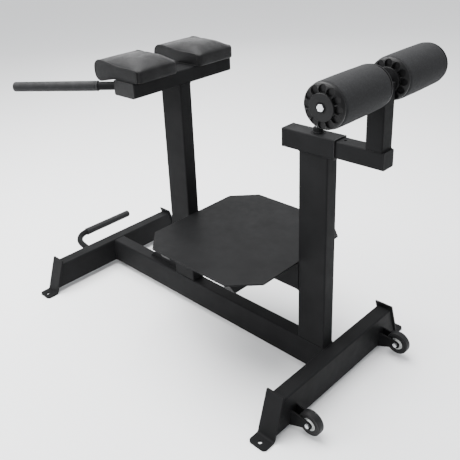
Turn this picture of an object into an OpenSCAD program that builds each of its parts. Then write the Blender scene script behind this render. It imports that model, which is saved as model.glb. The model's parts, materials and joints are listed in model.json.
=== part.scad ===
// Roman chair: a bench for back extensions, on a welded tube frame.
// +X runs from the thigh pads to the ankle rollers, +Y to the user's right, +Z up.
// Lengths are millimetres.  Along X they are counted from the front face of the front
// cross tube, and the whole model is then moved so that its origin is the middle of its
// footprint, on the floor.

/* [Steel tube] */
// Narrow side of the frame tube
tube_w = 50; // [40:1:60]
// Wide side of the frame tube
tube_h = 100; // [80:1:120]
// Wall of the frame tube
tube_wall = 3; // [2:0.5:4]
// Outside corner radius of the frame tube
tube_r = 5; // [4.5:0.5:7]

/* [Base] */
// Length of the rail between the two cross tubes
rail_len = 1089; // [1000:1:1200]
// Height of the rail above the floor
ground_gap = 20; // [12:1:30]
// Wide side of the rear cross tube, which reaches lower than the rail
rear_tube_h = 110; // [100:1:110]
// Half width of the base, at the top edge of a foot plate
foot_half_w = 295; // [260:1:330]
// Lean of the foot plates
foot_lean = 18.5; // [10:0.5:22]
// Thickness of the foot plates
foot_t = 6; // [5:1:8]
// Width of a foot plate
foot_w = 62; // [56:1:70]
// Rise of a foot plate above the cross tube
foot_rise = 17; // [6:1:20]
// Length of the floor flange past the bend
flange_len = 41; // [34:1:50]
// Diameter of a floor anchor hole
anchor_d = 13; // [10:0.5:16]

/* [Uprights and pad beam] */
// Front upright, distance of its front face from the front cross tube's face
front_upright_x = 447; // [400:1:480]
// Height of the top of the pad beam above the floor
beam_top = 938; // [880:1:1000]
// Length of the pad beam
beam_len = 444; // [400:2:500]
// Thickness of the beam's end caps
beam_cap_t = 3; // [2:0.5:4]
// Legs of the triangular gusset in front of the front upright
gusset_leg = 175; // [120:5:220]
// Thickness of the gusset
gusset_t = 8; // [6:1:10]

/* [Platform] */
// Height of the platform's top above the floor
platform_top = 401; // [360:5:440]
// Width of the platform
platform_w = 539; // [480:1:600]
// Platform plate thickness
platform_t = 5; // [4:1:8]
// Length of the cut corners along each side
platform_cut = 80; // [50:5:110]
// Width of a support arm
arm_w = 40; // [30:1:50]
// Height of a support arm
arm_h = 44; // [30:1:50]
// Reach of an arm's top edge from the centre plane
arm_reach = 256; // [200:1:262]
// How far the arm's end is undercut
arm_undercut = 27; // [10:1:40]

/* [Thigh pads] */
// Width of one pad
pad_w = 174; // [150:1:176]
// Distance from the centre plane to a pad's inner side
pad_gap_half = 45; // [40:1:46]
// Overhang of a pad behind the beam
pad_rear = 24; // [15:1:40]
// Overhang of a pad's front roll in front of the beam
pad_front = 112; // [90:1:130]
// Radius of the front roll
roll_r = 36; // [30:1:38]
// Height of the roll's top above the beam
roll_top = 56; // [52:1:62]
// Height of the pad at its lowest stretch
pad_dip = 56; // [40:1:58]
// Height of the pad's rear edge
pad_back_h = 47; // [42:1:52]
// Thickness of the wooden board inside a pad
board_t = 12; // [9:1:15]

/* [Handles] */
// Angle of the front handles away from the rail
handle_angle = 36; // [20:1:50]
// Distance of a handle's root from the centre plane
handle_root_y = 198; // [170:1:205]
// Length of a handle along its axis
handle_len = 375; // [320:1:420]
// Length of the rubber grip
grip_len = 300; // [120:1:310]
// Diameter of a handle bar
bar_d = 28; // [22:1:28]
// Diameter of a handle grip
grip_d = 35; // [32:1:38]

/* [Lifting handle] */
// Distance of the leg from the centre plane
lift_leg_y = -110; // [-140:1:-90]
// Height of the leg's root above the floor
lift_root_z = 75; // [60:1:90]
// Upward tilt of the lifting handle
lift_tilt = 10.5; // [0:0.5:15]
// Reach of the lifting handle
lift_reach = 140; // [120:1:160]
// Bend radius at the middle of the bar
lift_bend_r = 65; // [50:1:68]
// Place of the grip's free end, from the centre plane
lift_end_y = 200; // [150:1:220]
// Diameter of the lifting bar
lift_bar_d = 25; // [20:1:28]
// Diameter of the lifting grip
lift_grip_d = 32; // [30:1:36]

/* [Sleeve and carriage] */
// Outer size of the square carriage tube
inner_w = 50; // [40:1:50]
// Wall of the carriage tube
inner_wall = 3; // [2:0.5:4]
// Running gap between the carriage tube and the liners, each side
slide_gap = 0.2; // [0.1:0.05:0.3]
// Thickness of the plastic liners
liner_t = 0.8; // [0.6:0.1:1.5]
// Wall of the sleeve
sleeve_wall = 3; // [2.5:0.5:4]
// Length of the sleeve
sleeve_len = 178; // [160:1:200]
// Overhang of the sleeve in front of the rear upright
sleeve_front = 56; // [40:1:60]
// Height of the sleeve's top above the floor
sleeve_top = 831.5; // [780:0.5:880]
// Spacing of the setting holes
hole_pitch = 45; // [40:0.5:45]
// Diameter of a setting hole
setting_hole_d = 9; // [8.5:0.1:10]
// Bare length of carriage tube between the sleeve and the post
bare_len = 93; // [93:1:120]
// Hidden length of carriage tube inside the sleeve
hidden_len = 159; // [140:1:165]
// Overhang of the carriage behind the post
carriage_tail = 6; // [0:1:20]

/* [Rollers] */
// Height of the roller axle above the floor
axle_z = 1005; // [960:1:1050]
// Diameter of the roller axle
axle_d = 25; // [20:1:30]
// Running clearance on the radius of every turning fit
run_gap = 0.06; // [0.02:0.01:0.1]
// Distance from the centre plane to an inner cap's face
roller_inner = 26.5; // [26:0.5:32]
// Distance from the centre plane to an outer cap's face
roller_outer = 254.5; // [240:0.5:260]
// Diameter of the foam
foam_d = 119; // [117:1:124]
// Diameter of the end cap's rim
cap_d = 113; // [112:1:116]
// Diameter of the end cap's flat disc
cap_disc_d = 68; // [66:1:70]
// Depth of an end cap outside the foam
cap_depth = 16.5; // [13:0.5:18]
// Number of scooped pockets round an end cap
cap_pockets = 12; // [10:1:17]

/* [Transport wheels] */
// Wheel diameter
wheel_d = 75; // [60:1:80]
// Wheel width
wheel_w = 24; // [20:1:30]
// Distance of the wheel axle behind the rear cross tube
wheel_back = 64; // [54:1:72]
// Height of the wheel axle
wheel_z = 50; // [44:1:60]
// Distance of each wheel from the centre plane
wheel_y = 241; // [200:1:250]
// Thickness of a fork cheek
cheek_t = 4; // [3:0.5:5]

/* [Hidden] */
$fn = 64;

// Small clearance around the soft solids, and overrun of every cut
soft_gap = 0.3;
over = 1;
big = 2000;

// Hexagon sizes across flats, head heights and shank radii of the fasteners
m8_flats = 13;
m8_head = 5.3;
m8_r = 4;
m10_flats = 17;
m10_head = 4;
m10_r = 5;
clear_hole = 0.5;

// Places along X
rail_end = tube_w + rail_len;
base_len = rail_end + tube_w;
front_upright_end = front_upright_x + tube_h;
rear_upright_x = rail_end - tube_h;
sleeve_x = rear_upright_x - sleeve_front;
sleeve_end = sleeve_x + sleeve_len;
pin_x = rear_upright_x + tube_h / 2;
post_x = sleeve_end + bare_len;
carriage_end = post_x + inner_w + carriage_tail;
carriage_x = sleeve_end - hidden_len;
end_plate_t = 3;
roller_x = post_x + inner_w / 2 - 3;
pad_x0 = front_upright_x - pad_front;
pad_x1 = front_upright_end + pad_rear;

// Heights
rail_top = ground_gap + tube_h;
beam_z = beam_top - tube_w;
tie_z = platform_top - platform_t - tube_h;
arm_z = platform_top - platform_t - arm_h;
sleeve_bore = inner_w + 2 * (slide_gap + liner_t);
sleeve_w = sleeve_bore + 2 * sleeve_wall;
sleeve_z = sleeve_top - sleeve_w;
slide_z = sleeve_top - sleeve_w / 2;
inner_top = slide_z + inner_w / 2;
inner_bottom = slide_z - inner_w / 2;

// The origin, half way between the lifting grip and the back of the rollers
model_x0 = -lift_reach * cos(lift_tilt) - lift_grip_d / 2;
model_x1 = roller_x + foam_d / 2;
origin_x = (model_x0 + model_x1) / 2;

module place() {
    translate([-origin_x, 0, 0]) children();
}

// Points along an arc of radius r round c, from angle a0 to a1 in n steps
function arc(c, r, a0, a1, n) =
    [for (i = [0:n]) let (a = a0 + (a1 - a0) * i / n) [c[0] + r * cos(a), c[1] + r * sin(a)]];

module rounded_rect(w, h, r) {
    union() {
        square([w - 2 * r, h], center = true);
        square([w, h - 2 * r], center = true);
        for (x = [-1, 1])
            for (y = [-1, 1])
                translate([x * (w / 2 - r), y * (h / 2 - r)]) circle(r, $fn = 32);
    }
}

// Hollow rectangular tube along +Z, w in X and h in Y, centred on the Z axis
module tube(w, h, len, wall = tube_wall, r = tube_r) {
    difference() {
        linear_extrude(len) rounded_rect(w, h, r);
        translate([0, 0, -over])
            linear_extrude(len + 2 * over) rounded_rect(w - 2 * wall, h - 2 * wall, r - wall);
    }
}

module hex_bar(flats, h) {
    cylinder(h, d = flats / cos(30), $fn = 6);
}

// Cylinder along +Y
module rod_y(r, len, y0 = 0) {
    translate([0, y0, 0]) rotate([-90, 0, 0]) cylinder(len, r = r);
}

/* ---- base ---- */

module main_rail() {
    color("#26272a") place()
        translate([tube_w, 0, ground_gap + tube_h / 2]) rotate([0, 90, 0])
            tube(tube_h, tube_w, rail_len);
}

// Distance of a foot plate's outer face from the centre plane at height z
function foot_face(z) = foot_half_w + (rail_top + foot_rise - z) * tan(foot_lean);
foot_skin = foot_t / cos(foot_lean);
// Room left for the weld between a cross tube's slanted end and its foot plate
weld_gap = 0.05;

module cross_tube(x0, h) {
    place() difference() {
        translate([x0 + tube_w / 2, -big / 2, rail_top - h / 2]) rotate([-90, 0, 0])
            tube(tube_w, h, big);
        for (s = [-1, 1])
            translate([x0 - over, 0, 0]) rotate([90, 0, 90])
                linear_extrude(tube_w + 2 * over)
                    polygon([for (p = [[0, 0], [rail_top + over, 0],
                                       [rail_top + over, big], [0, big]])
                        [s * (p[1] == 0 ? foot_face(p[0]) - foot_skin - weld_gap : p[1]), p[0]]]);
    }
}

module front_cross_tube() {
    color("#26272a") cross_tube(0, tube_h);
}

module rear_cross_tube() {
    color("#26272a") cross_tube(rail_end, rear_tube_h);
}

bend_r = 8;
flange_corner = 12;
flange_end = foot_face(0) + flange_len;
anchor_y = flange_end - 18;

// Side outline of a foot plate, leaning part, bend and flange, with y outwards
module foot_outline() {
    lean = foot_lean;
    // middle of the bend, inside the corner that the plate and the flange make
    bend_y = foot_face(foot_t + bend_r) + bend_r / cos(lean);
    top_z = rail_top + foot_rise;
    polygon(concat(
        [[foot_half_w - foot_skin, top_z], [foot_half_w, top_z]],
        arc([bend_y, foot_t + bend_r], bend_r, 180 + lean, 270, 6),
        [[flange_end, foot_t], [flange_end, 0]],
        arc([bend_y, foot_t + bend_r], bend_r + foot_t, 270, 180 + lean, 8)));
}

module foot(x_mid, side) {
    place() translate([x_mid, 0, 0]) mirror([0, side < 0 ? 1 : 0, 0]) difference() {
        intersection() {
            translate([-foot_w / 2, 0, 0]) rotate([90, 0, 90])
                linear_extrude(foot_w) foot_outline();
            linear_extrude(rail_top + foot_rise) union() {
                translate([-foot_w / 2, 0]) square([foot_w, flange_end - flange_corner]);
                translate([-foot_w / 2 + flange_corner, 0])
                    square([foot_w - 2 * flange_corner, flange_end]);
                for (x = [-1, 1])
                    translate([x * (foot_w / 2 - flange_corner), flange_end - flange_corner])
                        circle(flange_corner);
            }
        }
        translate([0, anchor_y, -over]) cylinder(foot_t + 2 * over, d = anchor_d);
    }
}

module front_left_foot() {
    color("#303134") foot(tube_w / 2, -1);
}

module front_right_foot() {
    color("#303134") foot(tube_w / 2, 1);
}

module rear_left_foot() {
    color("#303134") foot(rail_end + tube_w / 2, -1);
}

module rear_right_foot() {
    color("#303134") foot(rail_end + tube_w / 2, 1);
}

/* ---- uprights, beam and platform ---- */

module front_upright() {
    color("#26272a") place() translate([front_upright_x + tube_h / 2, 0, rail_top])
        tube(tube_h, tube_w, beam_z - rail_top);
}

module rear_upright() {
    color("#26272a") place() translate([pin_x, 0, rail_top])
        tube(tube_h, tube_w, sleeve_z - rail_top);
}

module tie_tube() {
    color("#1f2022") place()
        translate([front_upright_end, 0, tie_z + tube_h / 2]) rotate([0, 90, 0])
            tube(tube_h, tube_w, rear_upright_x - front_upright_end);
}

module front_gusset() {
    color("#1f2022") place()
        translate([front_upright_x, gusset_t / 2, rail_top]) rotate([90, 0, 0])
            linear_extrude(gusset_t) polygon([[0, 0], [-gusset_leg, 0], [0, gusset_leg]]);
}

module platform() {
    x0 = front_upright_end;
    x1 = rear_upright_x;
    w = platform_w / 2;
    c = platform_cut;
    color("#3c3d40") place() translate([0, 0, platform_top - platform_t])
        linear_extrude(platform_t) polygon([
            [x0 + c, -w], [x1 - c, -w], [x1, -w + c], [x1, w - c],
            [x1 - c, w], [x0 + c, w], [x0, w - c], [x0, -w + c]]);
}

arm_wall = 2.5;

module arm_pair(x0) {
    place() for (s = [-1, 1]) mirror([0, s < 0 ? 1 : 0, 0])
        translate([x0, tube_w / 2, arm_z]) rotate([90, 0, 90]) difference() {
            linear_extrude(arm_w) arm_outline(0);
            translate([0, 0, arm_wall]) linear_extrude(arm_w - 2 * arm_wall) arm_outline(arm_wall);
        }
}

// Side of an arm, from the tie tube outwards, drawn in by the wall thickness
module arm_outline(inset) {
    reach = arm_reach - tube_w / 2;
    run = arm_undercut / arm_h;
    side = inset * sqrt(1 + run * run);
    y_at = function (z) reach - arm_undercut + run * z - side;
    start = inset > 0 ? -over : 0;
    polygon([[start, inset], [y_at(inset), inset],
             [y_at(arm_h - inset), arm_h - inset], [start, arm_h - inset]]);
}

module front_arms() {
    color("#1f2022") arm_pair(front_upright_end + platform_cut);
}

module rear_arms() {
    color("#1f2022") arm_pair(rear_upright_x - platform_cut - arm_w);
}

beam_mid_x = front_upright_x + tube_h / 2;
pad_mid_y = pad_gap_half + pad_w / 2;
// Places of the pad bolts, from the middle of a pad
bolt_spread = 40;
bolt_ys = [for (s = [-1, 1]) for (b = [-1, 1]) s * pad_mid_y + b * bolt_spread];

module at_pad_bolts() {
    place() for (y = bolt_ys) translate([beam_mid_x, y, 0]) children();
}

module pad_beam() {
    color("#26272a") difference() {
        place() translate([beam_mid_x, -beam_len / 2 + beam_cap_t, beam_z + tube_w / 2])
            rotate([-90, 0, 0]) tube(tube_h, tube_w, beam_len - 2 * beam_cap_t);
        at_pad_bolts() translate([0, 0, beam_z - over])
            cylinder(tube_w + 2 * over, r = m8_r + clear_hole);
    }
}

module beam_caps() {
    color("#3c3d40") place() for (s = [-1, 1])
        translate([beam_mid_x, s * beam_len / 2 - (s > 0 ? beam_cap_t : 0), beam_z + tube_w / 2])
            rotate([-90, 0, 0]) linear_extrude(beam_cap_t) rounded_rect(tube_h, tube_w, tube_r);
}

/* ---- thigh pads ---- */

board_inset = 12;
board_x0 = front_upright_x;
tee_flange_r = 11;
tee_flange_t = 1.5;
tee_barrel_r = 5;

// Side outline of a pad above the beam: front roll, dip and raised back
module pad_outline() {
    roll_x = pad_x0 + roll_r;
    roll_z = roll_top - roll_r;
    dip_x = front_upright_x + tube_h * 0.55;
    back_r = 10;
    ease = function (t) (1 - cos(180 * t)) / 2;
    steps = 8;
    polygon(concat(
        arc([roll_x, roll_z], roll_r, 90, 262, 18),
        [[front_upright_x - 2, 0], [pad_x1 - 4, 0], [pad_x1, 4]],
        arc([pad_x1 - back_r, pad_back_h - back_r], back_r, 0, 80, 5),
        [for (i = [1:steps])
            let (t = i / steps)
            [pad_x1 - back_r - (pad_x1 - back_r - dip_x) * t,
             pad_back_h - (pad_back_h - pad_dip) * ease(t)]],
        [for (i = [1:steps - 1])
            let (t = i / steps)
            [dip_x - (dip_x - roll_x) * t, pad_dip + (roll_top - pad_dip) * ease(t)]]));
}

module pad(s) {
    place() translate([0, s * pad_mid_y + pad_w / 2, beam_top + soft_gap]) difference() {
        rotate([90, 0, 0]) linear_extrude(pad_w) pad_outline();
        translate([board_x0 - soft_gap, -pad_w + board_inset - soft_gap, -over])
            cube([pad_x1 - board_inset - board_x0 + 2 * soft_gap,
                  pad_w - 2 * board_inset + 2 * soft_gap, board_t + over]);
        for (b = [-1, 1])
            translate([beam_mid_x, -pad_w / 2 + b * bolt_spread, board_t - over])
                cylinder(over + 4, r = tee_flange_r + 1);
    }
}

module left_pad() {
    color("#17181a") pad(-1);
}

module right_pad() {
    color("#17181a") pad(1);
}

module pad_board(s) {
    difference() {
        place() translate([board_x0, s * pad_mid_y - pad_w / 2 + board_inset, beam_top])
            cube([pad_x1 - board_inset - board_x0, pad_w - 2 * board_inset, board_t]);
        at_pad_bolts() translate([0, 0, beam_top - over])
            cylinder(board_t + 2 * over, r = tee_barrel_r);
    }
}

module left_pad_board() {
    color("#8a6a45") pad_board(-1);
}

module right_pad_board() {
    color("#8a6a45") pad_board(1);
}

washer_t = 1.6;
pad_bolt_len = washer_t + tube_w + board_t - 2;

module pad_bolts() {
    color("#b9bcc0") at_pad_bolts() translate([0, 0, beam_z - washer_t - m8_head]) union() {
        hex_bar(m8_flats, m8_head);
        cylinder(m8_head + pad_bolt_len, r = m8_r);
    }
}

module pad_washers() {
    color("#b9bcc0") at_pad_bolts() translate([0, 0, beam_z - washer_t]) difference() {
        cylinder(washer_t, r = 9);
        translate([0, 0, -over]) cylinder(washer_t + 2 * over, r = m8_r + 0.2);
    }
}

module pad_tee_nuts() {
    color("#b9bcc0") at_pad_bolts() difference() {
        union() {
            translate([0, 0, beam_top + 2]) cylinder(board_t - 2, r = tee_barrel_r);
            translate([0, 0, beam_top + board_t]) cylinder(tee_flange_t, r = tee_flange_r);
        }
        translate([0, 0, beam_top]) cylinder(board_t + 4, r = m8_r + 0.05);
    }
}

/* ---- handles ---- */

// Moves a bar that runs along +Z to a front handle's root
module at_handle(s) {
    place() translate([front_upright_x, s * handle_root_y, beam_z + tube_w / 2])
        rotate([0, 0, -s * handle_angle]) rotate([0, -90, 0]) children();
}

grip_end_t = 4;

module handle_bar(s) {
    difference() {
        at_handle(s) translate([0, 0, -bar_d])
            cylinder(handle_len + bar_d - grip_end_t, d = bar_d);
        place() translate([front_upright_x, -big / 2, 0]) cube(big);
    }
}

module left_handle_bar() {
    color("#1f2022") handle_bar(-1);
}

module right_handle_bar() {
    color("#1f2022") handle_bar(1);
}

// Rubber grip along +Z, open at z = 0 and closed at its round end
module rubber_grip(len, d, bore) {
    round_r = 7;
    difference() {
        rotate_extrude() polygon(concat(
            [[0, 0], [d / 2 - 1, 0], [d / 2, 1]],
            arc([d / 2 - round_r, len - round_r], round_r, 0, 90, 8), [[0, len]]));
        translate([0, 0, -over]) cylinder(len - grip_end_t + over, d = bore);
    }
}

module left_grip() {
    color("#2a2b2d") at_handle(-1) translate([0, 0, handle_len - grip_len])
        rubber_grip(grip_len, grip_d, bar_d);
}

module right_grip() {
    color("#2a2b2d") at_handle(1) translate([0, 0, handle_len - grip_len])
        rubber_grip(grip_len, grip_d, bar_d);
}

// Plane of the lifting handle: x outwards from the cross tube, y along it
module at_lift() {
    place() translate([0, lift_leg_y, lift_root_z]) rotate([0, lift_tilt, 0])
        mirror([1, 0, 0]) children();
}

lift_grip_y = lift_bend_r + 3;
lift_run = lift_end_y - lift_leg_y;

module lift_bar() {
    leg = lift_reach - lift_bend_r;
    color("#1f2022") difference() {
        at_lift() union() {
            translate([-lift_bar_d, 0, 0]) rotate([0, 90, 0])
                cylinder(leg + lift_bar_d, d = lift_bar_d);
            translate([leg, lift_bend_r, 0]) rotate([0, 0, -90])
                rotate_extrude(angle = 90)
                    translate([lift_bend_r, 0]) circle(d = lift_bar_d);
            translate([lift_reach, lift_bend_r, 0]) rotate([-90, 0, 0])
                cylinder(lift_run - lift_bend_r - grip_end_t, d = lift_bar_d);
        }
        place() translate([0, -big / 2, 0]) cube(big);
    }
}

module lift_grip() {
    color("#2a2b2d") at_lift() translate([lift_reach, lift_grip_y, 0]) rotate([-90, 0, 0])
        rubber_grip(lift_run - lift_grip_y, lift_grip_d, lift_bar_d);
}

/* ---- sleeve, pin and carriage ---- */

sleeve_r = 4;
liner_corner = 0.2;

module sleeve() {
    color("#26272a") place() difference() {
        translate([sleeve_x, 0, slide_z]) rotate([0, 90, 0])
            tube(sleeve_w, sleeve_w, sleeve_len, sleeve_wall, sleeve_r);
        translate([pin_x, 0, slide_z]) cylinder(sleeve_w, d = setting_hole_d);
    }
}

liner_len = 30;
liner_lip = 2;

// Liners with a lip that covers the sleeve's end
module sleeve_liners() {
    hole = inner_w + 2 * slide_gap;
    color("#111213") place() for (s = [-1, 1])
        translate([(sleeve_x + sleeve_end) / 2, 0, slide_z]) rotate([0, s * 90, 0])
            translate([0, 0, sleeve_len / 2 - liner_len]) difference() {
                union() {
                    linear_extrude(liner_len)
                        rounded_rect(sleeve_bore, sleeve_bore, sleeve_r - sleeve_wall);
                    translate([0, 0, liner_len])
                        linear_extrude(liner_lip) rounded_rect(sleeve_w + 1, sleeve_w + 1, sleeve_r);
                }
                translate([0, 0, -over]) linear_extrude(liner_len + liner_lip + 2 * over)
                    rounded_rect(hole, hole, liner_corner);
            }
}

// The pin is drawn pulled up and parked, with its tip just clear of the carriage tube
boss_r = 15.5;
boss_h = 5;
collar_r = 13;
collar_h = 18;
collar_ribs = 14;
barrel_r = 9;
barrel_top = sleeve_top + 36;
barrel_cap = 4;
barrel_bore = 6.2;
plunger_r = 4;
pin_travel = 10;
pin_tip = inner_top + 0.6;
shoulder_z = sleeve_top + 3 + pin_travel;
shoulder_h = 3;

module at_pin(z) {
    place() translate([pin_x, 0, z]) children();
}

module pin_boss() {
    rib_w = 2.6;
    color("#1f2022") at_pin(sleeve_top) difference() {
        union() {
            rotate_extrude() polygon([[0, 0], [boss_r, 0], [boss_r, boss_h - 2],
                                      [boss_r - 2, boss_h], [collar_r, boss_h],
                                      [collar_r, collar_h - 1], [collar_r - 1, collar_h],
                                      [0, collar_h]]);
            for (i = [0:collar_ribs - 1])
                rotate([0, 0, 360 * i / collar_ribs])
                    translate([collar_r - 1, -rib_w / 2, boss_h - 1])
                        cube([2.2, rib_w, collar_h - boss_h - 1]);
        }
        translate([0, 0, -over]) cylinder(collar_h + 2 * over, r = barrel_r);
    }
}

module pin_barrel() {
    color("#b9bcc0") at_pin(0) difference() {
        translate([0, 0, sleeve_top]) cylinder(barrel_top - sleeve_top, r = barrel_r);
        translate([0, 0, sleeve_top - over])
            cylinder(barrel_top - barrel_cap - sleeve_top + over, r = barrel_bore);
        translate([0, 0, sleeve_top]) cylinder(big, r = plunger_r + run_gap);
    }
}

spring_wire = 0.6;
spring_r = 5.1;
spring_turns = 7;
spring_z0 = shoulder_z + shoulder_h + spring_wire;
spring_z1 = barrel_top - barrel_cap - spring_wire;
spring_sides = 6;
spring_steps = 16;

// Coil spring between the plunger's shoulder and the barrel's cap
module pin_spring() {
    rings = spring_turns * spring_steps;
    points = [for (i = [0:rings]) for (j = [0:spring_sides - 1])
        let (a = 360 * i / spring_steps, b = 360 * j / spring_sides,
             r = spring_r + spring_wire * cos(b))
        [r * cos(a), r * sin(a),
         spring_z0 + (spring_z1 - spring_z0) * i / rings + spring_wire * sin(b)]];
    skin = [for (i = [0:rings - 1]) for (j = [0:spring_sides - 1])
        let (k = (j + 1) % spring_sides, p = i * spring_sides, q = p + spring_sides)
        [p + j, p + k, q + k, q + j]];
    first = [[for (j = [spring_sides - 1:-1:0]) j]];
    last = [[for (j = [0:spring_sides - 1]) rings * spring_sides + j]];
    color("#8d9094") at_pin(0) polyhedron(points, concat(skin, first, last));
}

knob_z = barrel_top + 2 + pin_travel;
knob_h = 26;
knob_r = 15;

module pin_plunger() {
    color("#b9bcc0") at_pin(0) union() {
        translate([0, 0, pin_tip]) cylinder(knob_z + knob_h - 8 - pin_tip, r = plunger_r);
        translate([0, 0, shoulder_z]) cylinder(shoulder_h, r = barrel_bore - 0.2);
    }
}

module pin_knob() {
    round_r = 4;
    color("#111213") at_pin(knob_z) difference() {
        rotate_extrude() polygon(concat(
            [[0, 0], [9, 0], [10, 6], [knob_r, 10]],
            arc([knob_r - round_r, knob_h - round_r], round_r, 0, 90, 6), [[0, knob_h]]));
        translate([0, 0, -over]) cylinder(knob_h - 8 + over, r = plunger_r);
    }
}

// Setting holes run from one ahead of the pin to two behind it
first_hole = -1;
last_hole = 2;

module carriage_tube() {
    color("#26272a") place() difference() {
        translate([carriage_x, 0, slide_z]) rotate([0, 90, 0])
            tube(inner_w, inner_w, carriage_end - end_plate_t - carriage_x, inner_wall, sleeve_r);
        for (i = [first_hole:last_hole])
            translate([pin_x + i * hole_pitch, 0, slide_z]) cylinder(inner_w, d = setting_hole_d);
    }
}

plug_depth = 15;

module carriage_plug() {
    flange = 3;
    inside = inner_w - 2 * inner_wall;
    color("#111213") place() translate([carriage_x - flange, 0, slide_z]) rotate([0, 90, 0])
        union() {
            linear_extrude(flange) rounded_rect(inner_w, inner_w, sleeve_r);
            translate([0, 0, flange])
                linear_extrude(plug_depth) rounded_rect(inside, inside, sleeve_r - inner_wall);
        }
}

module carriage_end_plate() {
    color("#26272a") place() translate([carriage_end - end_plate_t, 0, slide_z]) rotate([0, 90, 0])
        linear_extrude(end_plate_t) rounded_rect(inner_w, inner_w, sleeve_r);
}

module roller_post() {
    color("#26272a") place() difference() {
        translate([post_x + inner_w / 2, 0, inner_top]) difference() {
            linear_extrude(axle_z - inner_top) rounded_rect(inner_w, inner_w, sleeve_r);
            translate([0, 0, -over]) linear_extrude(axle_z - inner_top - inner_wall + over)
                rounded_rect(inner_w - 2 * inner_wall, inner_w - 2 * inner_wall,
                             sleeve_r - inner_wall);
        }
        translate([roller_x, 0, axle_z]) rod_y(axle_d / 2, 2 * inner_w, -inner_w);
    }
}

/* ---- rollers ---- */

axle_end = roller_outer - 2;
bolt_depth = 30;

module at_roller() {
    place() translate([roller_x, 0, axle_z]) children();
}

module roller_axle() {
    color("#7d8084") at_roller() difference() {
        rod_y(axle_d / 2, 2 * axle_end, -axle_end);
        for (s = [-1, 1])
            mirror([0, s < 0 ? 1 : 0, 0])
                rod_y(m10_r + 0.05, bolt_depth + 5 + over, axle_end - bolt_depth - 5);
    }
}

roller_washer_r = 13.2;
roller_washer_t = 1.5;

module roller_washers() {
    color("#1f2022") at_roller() for (s = [-1, 1]) mirror([0, s < 0 ? 1 : 0, 0])
        difference() {
            rod_y(roller_washer_r, roller_washer_t, axle_end);
            rod_y(m10_r + 0.3, roller_washer_t + 2 * over, axle_end - over);
        }
}

module roller_bolts() {
    color("#c4c7ca") at_roller() for (s = [-1, 1]) mirror([0, s < 0 ? 1 : 0, 0])
        translate([0, axle_end - bolt_depth, 0]) rotate([-90, 0, 0]) union() {
            cylinder(bolt_depth + roller_washer_t + m10_head, r = m10_r);
            translate([0, 0, bolt_depth + roller_washer_t]) hex_bar(m10_flats, m10_head);
        }
}

core_r = 30;
core_wall = 3;
core_y0 = roller_inner + cap_depth;
core_y1 = roller_outer - cap_depth;

// Turns a shape that is built along +Z onto a roller, from y0 towards y1
module on_axle(side, y0, dir) {
    at_roller() mirror([0, side < 0 ? 1 : 0, 0]) translate([0, y0, 0])
        rotate([dir > 0 ? -90 : 90, 0, 0]) children();
}

module roller_tube(side) {
    on_axle(side, core_y0, 1) difference() {
        cylinder(core_y1 - core_y0, r = core_r);
        translate([0, 0, -over]) cylinder(core_y1 - core_y0 + 2 * over, r = core_r - core_wall);
    }
}

// End cap with its outer face at z = 0 and its spigot towards +Z.  The washer sits in a
// counterbore, and pockets are scooped out of the shoulder round the flat disc.
module end_cap() {
    disc_r = cap_disc_d / 2;
    rim_r = cap_d / 2;
    disc_t = 3;
    half_ridge = 1.5;
    half_turn = tan(180 / cap_pockets);
    pocket_mid = (rim_r - 3 + half_ridge) / (1 + half_turn);
    pocket_r = pocket_mid * half_turn - half_ridge;
    pocket_root = disc_r * half_turn - half_ridge;
    pocket_z = 9;
    seat_r = roller_washer_r + 0.5;
    seat_z = 2.3;
    spigot_r = core_r - core_wall;
    spigot_len = 16;
    boss = axle_d / 2 + 5;
    bore = axle_d / 2 + run_gap;
    difference() {
        rotate_extrude() polygon([
            [bore, seat_z], [seat_r, seat_z], [seat_r, 0], [disc_r - 1, 0], [disc_r, 1],
            [disc_r, disc_t], [disc_r + 9, disc_t], [rim_r - 5, 6.5], [rim_r - 1.5, 10],
            [rim_r, 13], [rim_r, cap_depth],
            [spigot_r, cap_depth], [spigot_r, cap_depth + spigot_len],
            [spigot_r - 4, cap_depth + spigot_len], [spigot_r - 4, cap_depth],
            [boss, cap_depth], [boss, cap_depth + spigot_len], [bore, cap_depth + spigot_len]]);
        for (i = [0:cap_pockets - 1])
            rotate([0, 0, 360 * i / cap_pockets]) translate([0, 0, disc_t - over])
                linear_extrude(pocket_z - disc_t + over) union() {
                    translate([pocket_mid, 0]) circle(pocket_r, $fn = 32);
                    polygon([[disc_r, -pocket_root], [pocket_mid, -pocket_r],
                             [pocket_mid, pocket_r], [disc_r, pocket_root]]);
                }
    }
}

module foam_roll(side) {
    gap = 0.5;
    len = core_y1 - core_y0 - 2 * gap;
    edge = 6;
    on_axle(side, core_y0 + gap, 1) difference() {
        rotate_extrude() polygon(concat(
            [[core_r - over, 0]],
            arc([foam_d / 2 - edge, edge], edge, -90, 0, 6),
            arc([foam_d / 2 - edge, len - edge], edge, 0, 90, 6),
            [[core_r - over, len]]));
        translate([0, 0, -over]) cylinder(len + 2 * over, r = core_r + 0.1);
    }
}

module left_roller_tube() {
    color("#55585c") roller_tube(-1);
}

module right_roller_tube() {
    color("#55585c") roller_tube(1);
}

module left_outer_cap() {
    color("#1a1b1d") on_axle(-1, roller_outer, -1) end_cap();
}

module left_inner_cap() {
    color("#1a1b1d") on_axle(-1, roller_inner, 1) end_cap();
}

module right_outer_cap() {
    color("#1a1b1d") on_axle(1, roller_outer, -1) end_cap();
}

module right_inner_cap() {
    color("#1a1b1d") on_axle(1, roller_inner, 1) end_cap();
}

module left_foam() {
    color("#2c2d30") foam_roll(-1);
}

module right_foam() {
    color("#2c2d30") foam_roll(1);
}

/* ---- transport wheels ---- */

wheel_x = base_len + wheel_back;
fork_gap = wheel_w / 2 + 1.5;
eye_r = 13;
root_h = 56;
wheel_bore = m8_r + run_gap;

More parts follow.
